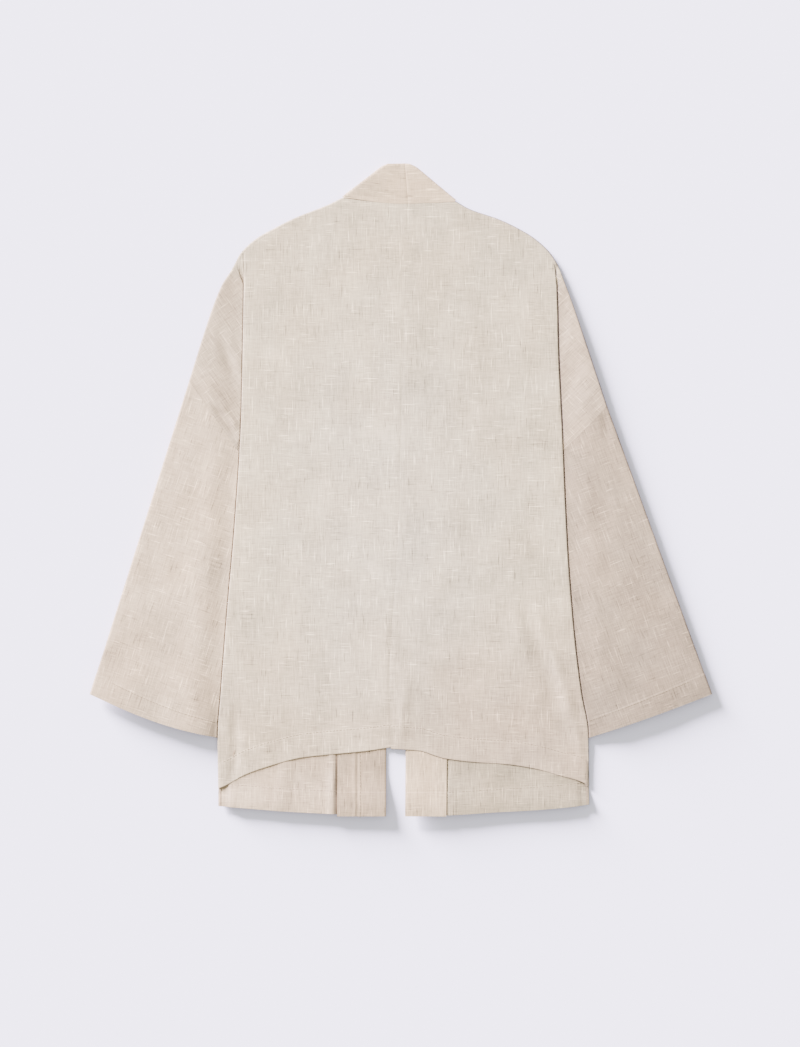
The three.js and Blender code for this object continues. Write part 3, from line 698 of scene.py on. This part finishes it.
def band_grid(side, cloth):
    """Half the neckband: across the back, round the slanting fold and down the front."""
    sign = side["sign"]
    low, high = (sign * BAND_CENTRE[k] + SEAM / 2 for k in ("low", "high"))
    top, neck = np.array(side["band_top"]), np.array(side["band_neck"])
    wide = side["band_width"]
    edge = np.array([0, 0.5, 1.4, 2.6]) / wide
    t = np.concatenate([edge, np.linspace(5 / wide, 1 - 5 / wide, 42), 1 - edge[::-1]])[None, :]

    def across(sewn, free):
        return [lerp(a, b, t) for a, b in zip(sewn, free)]

    # Across the back neck, from the centre seam to the fold. The sewn edge follows the neck line.
    s = np.linspace(0, 1, 26)[:, None]
    sewn_out = lerp(low, neck[0], s)
    sewn = (sewn_out, lerp(neck_height(side, sewn_out) + 0.1, neck[1], s**6), LEVEL["neck"] + 0 * s)
    # The middle of the free edge leans down, and the centre seam lies in a shallow groove
    leaning = LEVEL["neck"] - 1.2 * np.exp(-((s / 0.5) ** 2))
    free = (lerp(high, top[0], s), lerp(BAND_TOP, top[1], s), leaning)
    back = across(sewn, free)
    back[2] = back[2] - 0.45 * np.exp(-((s / 0.025) ** 2))

    # Round the slanting fold beside the neck
    direction = (top - neck) / np.hypot(*(top - neck))
    outward = np.array([direction[1], -direction[0]])
    angle = (math.pi * np.arange(1, 13) / 12)[:, None]
    reach = 2 * np.sin(angle) * ease(1, 0.85, t)
    z = lerp(LEVEL["neck"], BAND_HALF, (1 - np.cos(angle)) / 2)
    fold = [*(lerp(neck[k], top[k], t) + outward[k] * reach for k in (0, 1)), z + 0 * t]

    # Down the front to the hem, still a little aslant below the fold
    hem_top = BAND_END + HEM["front"]
    y = np.concatenate([
        np.linspace(399, 330, 20), np.arange(324, hem_top + 6, -1.3 * cloth.step / MM),
        np.linspace(hem_top + 4, hem_top - 1, 9), np.linspace(hem_top - 4, BAND_END + 2.5, 8),
        [BAND_END + 1, BAND_END],
    ])[:, None]
    lag = (top[1] - neck[1]) * np.exp((y - top[1]) / 70)
    free = (band_free(side, y), y, BAND_HALF + 0 * y)
    sewn = (band_seam(side, y - lag), y - lag, BAND_HALF + 0 * y)
    front = across(sewn, free)
    low = ease(-150, -260, y)
    soft = relief(sign * front[0], front[1], "band", cloth.folds)
    front[2] = front[2] + hem_lift(side, *front[:2]) + low * (0.3 + soft)
    stacked = [np.vstack([a + 0 * t, b + 0 * t, c + 0 * t]) for a, b, c in zip(back, fold, front)]
    points = np.dstack([sign * stacked[0], stacked[1], stacked[2]])

    width = np.broadcast_to(t * wide, stacked[0].shape)
    down = np.arange(len(stacked[0]))[:, None] >= len(s) + 6
    length = np.where(down, neck[0] + neck[1] - stacked[1], stacked[0])
    grain = np.dstack([width, sign * length])
    hem = np.zeros(stacked[0].shape)
    hem[len(s) + 12:] = ease(hem_top + 1.2, hem_top, y)
    # Painted shade: the band's lower ends are coloured darker, the left one more than the right
    painted_shade = (1.0 if sign < 0 else 0.32) * ease(-290, -318, stacked[1]) * down
    return Grid(points, grain, hem * cloth.hem_raise / MM, np.ones(stacked[0].shape, bool), painted_shade)


def shell(name, grid, half, ring=False, flip=False, round_edges=()):
    """A closed wall of cloth on a grid of middle points, thickened along the surface's own normals."""
    points, grain, hem, exists, painted_shade = grid
    count_rows, count_columns = exists.shape
    index = np.arange(exists.size).reshape(exists.shape)
    if ring:
        index = np.hstack([index, index[:, :1]])
        valid = np.ones((count_rows - 1, count_columns), bool)
    else:
        valid = exists[:-1, :-1] & exists[1:, :-1] & exists[:-1, 1:] & exists[1:, 1:]
    quads = np.stack([index[:-1, :-1], index[1:, :-1], index[1:, 1:], index[:-1, 1:]], -1)[valid]
    if flip:
        quads = quads[:, ::-1]
    flat = points.reshape(-1, 3)
    corners = flat[quads]
    face = np.cross(corners[:, 2] - corners[:, 0], corners[:, 3] - corners[:, 1])
    normal = np.zeros_like(flat)
    for k in range(4):
        np.add.at(normal, quads[:, k], face)
    normal /= np.maximum(np.linalg.norm(normal, axis=1, keepdims=True), 1e-9)

    thin = half * np.ones(exists.shape)
    if "free side" in round_edges:
        thin[:, -4:] *= np.array([0.97, 0.86, 0.62, 0.25])
    if "end" in round_edges:
        thin[-2:] *= np.array([[0.85], [0.4]])
        hem[-2:] *= np.array([[0.85], [0.4]])
    thin = thin.reshape(-1, 1)
    upper = flat + normal * (thin + hem.reshape(-1, 1))
    lower = flat - normal * thin

    used = np.unique(quads)
    renumber = np.full(len(flat), -1)
    renumber[used] = np.arange(len(used))
    quads = renumber[quads]
    edges = np.concatenate([quads[:, [k, (k + 1) % 4]] for k in range(4)])
    keys = edges[:, 0] * len(used) + edges[:, 1]
    border = edges[~np.isin(keys, edges[:, 1] * len(used) + edges[:, 0])]
    below = len(used)
    walls = np.column_stack([border[:, 1], border[:, 0], border[:, 0] + below, border[:, 1] + below])
    faces = np.concatenate([quads, quads[:, ::-1] + below, walls])
    vertices = np.concatenate([upper[used], lower[used]])
    vertices[:, :2] -= PLAN_CENTRE

    mesh = bpy.data.meshes.new(name)
    mesh.from_pydata((vertices * MM).tolist(), [], faces.tolist())
    uv = np.tile(grain.reshape(-1, 2)[used], (2, 1))
    layer = mesh.uv_layers.new(name="grain")
    layer.data.foreach_set("uv", uv[faces.ravel()].ravel())
    # The painted shade goes to the shader as an attribute of each point
    painted_shade_layer = mesh.attributes.new("painted_shade", "FLOAT", "POINT")
    painted_shade_layer.data.foreach_set("value", np.tile(painted_shade.ravel()[used], 2))
    mesh.shade_smooth()
    mesh.set_sharp_from_angle(angle=math.radians(50))
    mesh.validate()
    piece = bpy.data.objects.new(name, mesh)
    bpy.context.scene.collection.objects.link(piece)
    return piece, upper.reshape(points.shape)


def linear(code):
    """A colour written as sRGB hex, in the linear values that a shader socket takes."""
    values = [int(code[i:i + 2], 16) / 255 for i in (1, 3, 5)]
    return (*(v / 12.92 if v <= 0.04045 else ((v + 0.055) / 1.055) ** 2.4 for v in values), 1.0)


def add_node(tree, kind, inputs=None, **settings):
    """A node with its settings, and its inputs set to values or linked from other nodes' outputs."""
    node = tree.nodes.new(kind)
    for key, value in settings.items():
        setattr(node, key, value)
    for key, value in (inputs or {}).items():
        if isinstance(value, bpy.types.NodeSocket):
            tree.links.new(value, node.inputs[key])
        else:
            node.inputs[key].default_value = value
    return node


def shader_tree(name):
    material = bpy.data.materials.new(name)
    material.use_nodes = True
    tree = material.node_tree
    tree.nodes.clear()
    return material, tree


def weave(tree, settings, kind):
    """How bright the uneven yarns are, the cloth's slow change from warm to cool, and the yarns' relief."""
    grain = add_node(tree, "ShaderNodeUVMap", uv_map="grain").outputs["UV"]

    def streaks(width, length, detail, shift):
        placed = add_node(tree, "ShaderNodeMapping", {
            "Vector": grain, "Location": (shift, shift * 1.7, 0), "Scale": (1 / width, 1 / length, 1),
        })
        noise = add_node(tree, "ShaderNodeTexNoise", {
            "Vector": placed.outputs["Vector"], "Scale": 1.0, "Detail": detail, "Roughness": 0.55,
        }, noise_dimensions="2D")
        centred = add_node(tree, "ShaderNodeMath", {0: noise.outputs[0], 1: 0.5}, operation="SUBTRACT")
        return centred.outputs[0]

    sums = {"tone": None, "relief": None}
    for yarn in YARNS:
        value = streaks(*(yarn[key] for key in ("width", "length", "detail", "shift")))
        if yarn["level"] is not None:
            value = add_node(tree, "ShaderNodeMapRange", {
                "Value": value, "From Min": yarn["level"], "From Max": yarn["level"] + 0.16,
                "To Min": 0.0, "To Max": 1.0,
            }, interpolation_type="SMOOTHSTEP").outputs["Result"]
        weights = {"tone": yarn["tone"] * kind.get(yarn["runs"], 1.0), "relief": yarn["relief"]}
        for key, total in sums.items():
            if weights[key]:
                sums[key] = add_node(tree, "ShaderNodeMath", {
                    0: value, 1: weights[key], 2: 0.0 if total is None else total,
                }, operation="MULTIPLY_ADD").outputs[0]
    bright = add_node(tree, "ShaderNodeMath", {
        0: sums["tone"], 1: settings.slub, 2: 1.0,
    }, operation="MULTIPLY_ADD").outputs[0]
    warm = add_node(tree, "ShaderNodeMix", {
        "Factor": add_node(tree, "ShaderNodeMapRange", {
            "Value": streaks(60, 75, 1, 301), "From Min": -0.2, "From Max": 0.2,
            "To Min": 0.0, "To Max": 1.0,
        }).outputs["Result"],
        6: (0.989, 1.0, 1.0135, 1.0), 7: (1.011, 1.0, 0.9865, 1.0),
    }, data_type="RGBA").outputs[2]
    return bright, warm, sums["relief"]


def linen(name, node, settings):
    """Plain-woven slub linen, washed and not starched.

    Flax yarns are uneven, so the cloth shows streaks and slubs both ways. It is matt, with a faint glow at
    low angles from its loose fibres.
    """
    material, tree = shader_tree(name)
    kind = KINDS[node.split("_")[0]]
    bright, warm, relief_height = weave(tree, settings, kind)
    # Painted light and shade: the middle of the back is coloured a little paler and cooler, the rest darker
    # and warmer
    centred = add_node(tree, "ShaderNodeMapping", {
        "Vector": add_node(tree, "ShaderNodeTexCoord").outputs["Object"],
        "Location": (0.11, 0.16, 0), "Scale": (5.2, 3.2, 0),
    })
    away = add_node(tree, "ShaderNodeVectorMath", {0: centred.outputs[0]}, operation="LENGTH")
    middle = add_node(tree, "ShaderNodeMapRange", {
        "Value": away.outputs["Value"], "From Min": 1.15, "From Max": 0.1, "To Min": 0.0, "To Max": 1.0,
    }, interpolation_type="SMOOTHSTEP").outputs["Result"]
    # Painted shade, read from the mesh: the limbs, the cuffs, the band's lower ends and the lower right of
    # the back are coloured darker
    painted_shade = add_node(tree, "ShaderNodeAttribute", attribute_name="painted_shade").outputs["Fac"]
    # Painted shade: cloth that leans away from level, at rolled and cut edges and on the sides of folds, is
    # coloured darker
    normal = add_node(tree, "ShaderNodeNewGeometry").outputs["Normal"]
    leaning = add_node(tree, "ShaderNodeMapRange", {
        "Value": add_node(tree, "ShaderNodeSeparateXYZ", {0: normal}).outputs["Z"],
        "From Min": 0.998, "From Max": 0.84, "To Min": 0.0, "To Max": 1.0,
    }, interpolation_type="SMOOTHSTEP").outputs["Result"]
    white = (1.0, 1.0, 1.0)
    colour = add_node(tree, "ShaderNodeVectorMath", {
        0: linear(LINEN_TONE_AND_SHADE[node])[:3], "Scale": bright,
    }, operation="SCALE").outputs[0]
    colour = add_node(tree, "ShaderNodeVectorMath", {0: colour, 1: warm}, operation="MULTIPLY").outputs[0]
    for factor, plain_tint, full_tint in [
        (middle, (0.94, 0.925, 0.90), (0.995, 1.0, 1.05)),
        (painted_shade, white, kind["shaded"]),
        (leaning, white, SHARP_EDGE_SHADE if node == "back_right" else SOFT_EDGE_SHADE),
    ]:
        tint = add_node(tree, "ShaderNodeMix", {
            "Factor": factor, 6: (*plain_tint, 1.0), 7: (*full_tint, 1.0),
        }, data_type="RGBA").outputs[2]
        tinted = add_node(tree, "ShaderNodeVectorMath", {0: colour, 1: tint}, operation="MULTIPLY")
        colour = tinted.outputs[0]
    bump = add_node(tree, "ShaderNodeBump", {
        "Height": relief_height, "Strength": settings.bump, "Distance": 0.0003,
    })
    surface = add_node(tree, "ShaderNodeBsdfPrincipled", {
        "Base Color": colour, "Roughness": 0.88, "Specular IOR Level": 0.18,
        "Sheen Weight": 0.08, "Sheen Roughness": 0.5, "Normal": bump.outputs["Normal"],
    })
    add_node(tree, "ShaderNodeOutputMaterial", {"Surface": surface.outputs[0]})
    return material


def plain(name, colour, roughness):
    """An even matt finish, for what is too small or too smooth to show a grain."""
    material, tree = shader_tree(name)
    surface = add_node(tree, "ShaderNodeBsdfPrincipled", {
        "Base Color": linear(colour), "Roughness": roughness, "Specular IOR Level": 0.1,
    })
    add_node(tree, "ShaderNodeOutputMaterial", {"Surface": surface.outputs[0]})
    return material


def cloth_material(node):
    """The linen of one piece. The right back, front and sleeve are coloured darker than the left, a painted
    shade.
    """
    piece, side = node.split("_")
    return linen(f"natural slub linen, {side} {piece}", node, bpy.context.scene.kimono_linen)


def thread_material():
    """Spun cotton sewing thread, matt and darker than the cloth, made once."""
    name = "spun cotton thread"
    return bpy.data.materials.get(name) or plain(name, THREAD, 0.8)


def stitch_group():
    """Geometry nodes that lay short stitches along a path."""
    found = bpy.data.node_groups.get("running stitches")
    if found:
        return found
    tree = bpy.data.node_groups.new("running stitches", "GeometryNodeTree")
    wanted = [
        ("Path", "NodeSocketGeometry"), ("Pitch", "NodeSocketFloat"), ("Stitch Length", "NodeSocketFloat"),
        ("Thread Radius", "NodeSocketFloat"), ("Seed", "NodeSocketInt"), ("Thread", "NodeSocketMaterial"),
    ]
    for name, kind in wanted:
        tree.interface.new_socket(name, in_out="INPUT", socket_type=kind)
    tree.interface.new_socket("Stitches", in_out="OUTPUT", socket_type="NodeSocketGeometry")
    given = add_node(tree, "NodeGroupInput").outputs
    curve = add_node(tree, "GeometryNodeMeshToCurve", {"Mesh": given["Path"]})
    spaced = add_node(tree, "GeometryNodeResampleCurve", {
        "Curve": curve.outputs[0], "Length": given["Pitch"],
    }, mode="LENGTH")
    tangent = add_node(tree, "GeometryNodeInputTangent")
    facing = add_node(tree, "FunctionNodeAlignRotationToVector", {"Vector": tangent.outputs[0]}, axis="Z")
    thread = add_node(tree, "GeometryNodeMeshCylinder", {
        "Vertices": 6, "Radius": given["Thread Radius"], "Depth": given["Stitch Length"],
    })
    uneven = add_node(tree, "FunctionNodeRandomValue", {"Seed": given["Seed"]}, data_type="FLOAT")
    for socket in uneven.inputs:
        if socket.name == "Min" and socket.type == "VALUE":
            socket.default_value = 0.8
        if socket.name == "Max" and socket.type == "VALUE":
            socket.default_value = 1.12
    size = next(s for s in uneven.outputs if s.type == "VALUE")
    placed = add_node(tree, "GeometryNodeInstanceOnPoints", {
        "Points": spaced.outputs[0], "Instance": thread.outputs["Mesh"], "Rotation": facing.outputs[0],
        "Scale": size,
    })
    real = add_node(tree, "GeometryNodeRealizeInstances", {"Geometry": placed.outputs[0]})
    finished = add_node(tree, "GeometryNodeSetMaterial", {
        "Geometry": real.outputs[0], "Material": given["Thread"],
    })
    add_node(tree, "NodeGroupOutput", {"Stitches": finished.outputs[0]})
    return tree


def stitches(name, paths, settings):
    """Real stitches along some paths in plan millimetres, as one plain mesh."""
    vertices, edges = [], []
    for path in paths:
        first = len(vertices)
        vertices += [((x - PLAN_CENTRE[0]) * MM, (y - PLAN_CENTRE[1]) * MM, z * MM) for x, y, z in path]
        edges += [(first + i, first + i + 1) for i in range(len(path) - 1)]
    mesh = bpy.data.meshes.new(name + " path")
    mesh.from_pydata(vertices, edges, [])
    carrier = bpy.data.objects.new(name, mesh)
    bpy.context.scene.collection.objects.link(carrier)
    group = stitch_group()
    modifier = carrier.modifiers.new("stitches", "NODES")
    modifier.node_group = group
    values = {
        "Pitch": settings.pitch, "Stitch Length": settings.length, "Thread Radius": settings.radius,
        "Seed": settings.seed, "Thread": thread_material(),
    }
    for item in group.interface.items_tree:
        if item.item_type == "SOCKET" and item.in_out == "INPUT" and item.name in values:
            modifier[item.identifier] = values[item.name]
    bpy.context.view_layer.update()
    evaluated = carrier.evaluated_get(bpy.context.evaluated_depsgraph_get())
    sewn = bpy.data.meshes.new_from_object(evaluated)
    carrier.modifiers.clear()
    carrier.data = sewn
    bpy.data.meshes.remove(mesh)
    return carrier


def sink(path):
    """Lays a path of surface points so that a thread on it sits a little in the cloth."""
    return path - np.array([0, 0, SINK])


def declare(piece, node, extras):
    """Gives a finished piece its material, hangs it and its extras on the root, and hides the CAD part that
    it replaces.
    """
    piece.data.materials.clear()
    piece.data.materials.append(cloth_material(node))
    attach(piece, "root")
    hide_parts(node)
    for extra in extras:
        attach(extra, "root")


class ClothSettings(bpy.types.PropertyGroup):
    """How the cloth is laid and sampled."""

    thickness: FloatProperty(name="Thickness", description="Thickness of one layer of linen as it shows",
                             default=0.0006, min=0.0003, max=0.003, unit="LENGTH", subtype="DISTANCE")
    step: FloatProperty(name="Step", description="Distance between rows of the cloth's mesh",
                        default=0.0034, min=0.002, max=0.02, unit="LENGTH", subtype="DISTANCE")
    folds: FloatProperty(name="Soft folds", description="Strength of the hand-laid folds, 1 as tabled",
                         default=1.0, min=0.0, max=2.0, subtype="FACTOR")
    hem_raise: FloatProperty(name="Hem raise", description="Extra thickness of the turned-up hems",
                             default=0.0003, min=0.0, max=0.001, unit="LENGTH", subtype="DISTANCE")


class LinenSettings(bpy.types.PropertyGroup):
    """The linen's surface."""

    slub: FloatProperty(name="Slub contrast", description="Contrast of the uneven yarns",
                        default=1.7, min=0.0, max=4.0, subtype="FACTOR")
    bump: FloatProperty(name="Weave relief", description="Strength of the yarns' relief",
                        default=0.35, min=0.0, max=1.0, subtype="FACTOR")


class StitchSettings(bpy.types.PropertyGroup):
    """The hem and seam stitching."""

    pitch: FloatProperty(name="Pitch", description="Distance from one stitch to the next",
                         default=0.0042, min=0.001, max=0.02, unit="LENGTH", subtype="DISTANCE")
    length: FloatProperty(name="Length", description="Length of one stitch",
                          default=0.0029, min=0.001, max=0.02, unit="LENGTH", subtype="DISTANCE")
    radius: FloatProperty(name="Thread radius", description="Half the thread's thickness",
                          default=0.00026, min=0.0001, max=0.001, unit="LENGTH", subtype="DISTANCE")
    seed: IntProperty(name="Seed", description="Seed of the stitches' unevenness", default=7)


class StageSettings(bpy.types.PropertyGroup):
    """Camera and light."""

    distance: FloatProperty(name="Camera distance", description="Height of the camera above the surface",
                            default=6.0, min=1.0, max=20.0, unit="LENGTH", subtype="DISTANCE")
    width: FloatProperty(name="Picture width", description="Width of surface that the picture shows",
                         default=1.0, min=0.2, max=5.0, unit="LENGTH", subtype="DISTANCE")
    key: FloatProperty(name="Key light", description="Strength of the light from the upper left",
                       default=40.4, min=0.0, max=200.0)
    surface: FloatProperty(name="Surface light", description="Strength of the lower light on the surface",
                           default=74.8, min=0.0, max=300.0)
    fill: FloatProperty(name="Fill light", description="Strength of the even light all round",
                        default=1.45, min=0.0, max=10.0)


def hem_row(grid, depth):
    """The row that lies so far above the lower edge, measured half way across the panel."""
    y = grid.points[:, 30, 1]
    return int(np.argmin(np.abs(y - (y[-1] + depth))))


def lay_body(panel, scene):
    """Both halves of the back or both fronts, with their hem stitching."""
    cloth = scene.kimono_cloth
    for side in (LEFT, RIGHT):
        grid = body_grid(side, panel, cloth)
        node = panel["name"] + "_" + side["name"]
        half = cloth.thickness / MM / 2
        piece, surface = shell(node + "_cloth", grid, half, flip=side["sign"] < 0,
                               round_edges=panel["round_edges"])
        hem = hem_row(grid, HEM[panel["name"]] - panel["stitches_below"])
        path = sink(surface[hem, 1:panel["columns"] - 2])
        declare(piece, node, [stitches(node + "_stitching", [path], scene.kimono_stitches)])


class KIMONO_OT_back(bpy.types.Operator):
    """Lay the two halves of the back, with the backs of the drop shoulders"""

    bl_idname = "kimono.back"
    bl_label = "Back"

    def execute(self, context):
        lay_body(BACK, context.scene)
        return {"FINISHED"}


class KIMONO_OT_fronts(bpy.types.Operator):
    """Lay the two fronts, inside uppermost, with the fronts of the drop shoulders"""

    bl_idname = "kimono.fronts"
    bl_label = "Fronts"

    def execute(self, context):
        lay_body(FRONT, context.scene)
        return {"FINISHED"}


class KIMONO_OT_sleeves(bpy.types.Operator):
    """Lay the two sleeves, each a flattened tube"""

    bl_idname = "kimono.sleeves"
    bl_label = "Sleeves"

    def execute(self, context):
        cloth, sewing = context.scene.kimono_cloth, context.scene.kimono_stitches
        for side in (LEFT, RIGHT):
            grid = sleeve_grid(side, cloth)
            node = "sleeve_" + side["name"]
            half = cloth.thickness / MM / 2
            piece, surface = shell(node + "_cloth", grid, half, ring=True, flip=side["sign"] < 0)
            turned_up = grid.hem.max(axis=1) > 0.9 * grid.hem.max()
            path = sink(surface[int(np.argmax(turned_up)) + 1, SLEEVE_STITCHED])
            declare(piece, node, [stitches(node + "_stitching", [path], sewing)])
        return {"FINISHED"}


class KIMONO_OT_neckband(bpy.types.Operator):
    """Lay the doubled neckband across the back neck and down both fronts"""

    bl_idname = "kimono.neckband"
    bl_label = "Neckband"

    def execute(self, context):
        cloth, sewing = context.scene.kimono_cloth, context.scene.kimono_stitches
        for side in (LEFT, RIGHT):
            grid = band_grid(side, cloth)
            node = "neckband_" + side["name"]
            piece, surface = shell(node + "_cloth", grid, BAND_HALF - 0.1, flip=side["sign"] > 0,
                                   round_edges=("free side",))
            turned_up = grid.hem[:, 8] > 0.4
            paths = [surface[int(np.argmax(turned_up)) + 1, 2:-2]]
            if side["name"] == "left":
                paths.append(surface[DOTTED_FROM:, DOTTED_COLUMN])
            thread = stitches(node + "_stitching", [sink(path) for path in paths], sewing)
            declare(piece, node, [thread])
        return {"FINISHED"}


class KIMONO_OT_stage(bpy.types.Operator):
    """Set up the surface, the light and the camera straight above"""

    bl_idname = "kimono.stage"
    bl_label = "Stage"

    def execute(self, context):
        stage = context.scene.kimono_stage
        bpy.ops.mesh.primitive_plane_add(size=12, location=(0, 0, 0))
        floor = context.object
        floor.name = "surface"
        floor.data.materials.append(plain("matt white card", FLOOR, 0.9))

        def sun(name, energy, position, spread, lit):
            """A soft sun that lights only some of the objects, though all of them stand in its way."""
            data = bpy.data.lights.new(name, "SUN")
            data.energy = energy
            data.angle = math.radians(spread)
            data.color = linear("#FCFAFF")[:3]
            light = bpy.data.objects.new(name, data)
            receivers = bpy.data.collections.new("lit by " + name)
            for item in lit:
                receivers.objects.link(item)
            light.light_linking.receiver_collection = receivers
            light.location = position
            light.rotation_euler = Vector(position).to_track_quat("Z", "Y").to_euler()
            context.scene.collection.objects.link(light)

        cloth = [item for item in context.scene.objects if item.type == "MESH" and item != floor]
        sun("key", stage.key, KEY_FROM, 28, cloth)
        sun("surface light", stage.surface, SURFACE_FROM, 22, [floor])
        world = context.scene.world or bpy.data.worlds.new("studio")
        context.scene.world = world
        world.use_nodes = True
        background = world.node_tree.nodes["Background"]
        background.inputs["Color"].default_value = linear("#F7FFED")
        background.inputs["Strength"].default_value = stage.fill

        lens = bpy.data.cameras.new("overhead")
        lens.sensor_fit = "HORIZONTAL"
        lens.sensor_width = 36
        lens.lens = 36 * stage.distance / stage.width
        lens.dof.use_dof = False
        lens.clip_end = 100
        camera = bpy.data.objects.new("overhead", lens)
        camera.location = (PICTURE_CENTRE[0] * MM, PICTURE_CENTRE[1] * MM, stage.distance)
        context.scene.collection.objects.link(camera)
        context.scene.camera = camera
        return {"FINISHED"}


class KIMONO_PT_panel(bpy.types.Panel):
    """Buttons and settings for the jacket"""

    bl_label = "Kimono jacket"
    bl_idname = "KIMONO_PT_panel"
    bl_space_type = "VIEW_3D"
    bl_region_type = "UI"
    bl_category = "Kimono jacket"

    def draw(self, context):
        for group in (context.scene.kimono_cloth, context.scene.kimono_linen,
                      context.scene.kimono_stitches, context.scene.kimono_stage):
            box = self.layout.box()
            for name in group.__annotations__:
                box.prop(group, name)
        for operator in OPERATORS:
            self.layout.operator(operator.bl_idname)


OPERATORS = (KIMONO_OT_back, KIMONO_OT_fronts, KIMONO_OT_sleeves, KIMONO_OT_neckband, KIMONO_OT_stage)
GROUPS = (ClothSettings, LinenSettings, StitchSettings, StageSettings)
PROPERTIES = ("kimono_cloth", "kimono_linen", "kimono_stitches", "kimono_stage")


def register():
    for item in (*GROUPS, *OPERATORS, KIMONO_PT_panel):
        bpy.utils.register_class(item)
    for name, group in zip(PROPERTIES, GROUPS):
        setattr(bpy.types.Scene, name, PointerProperty(type=group))


def unregister():
    for name in PROPERTIES:
        delattr(bpy.types.Scene, name)
    for item in reversed((*GROUPS, *OPERATORS, KIMONO_PT_panel)):
        bpy.utils.unregister_class(item)


def main():
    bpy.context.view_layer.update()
    register()
    bpy.ops.kimono.back()
    bpy.ops.kimono.fronts()
    bpy.ops.kimono.sleeves()
    bpy.ops.kimono.neckband()
    bpy.ops.kimono.stage()


if __name__ == "__main__":
    main()
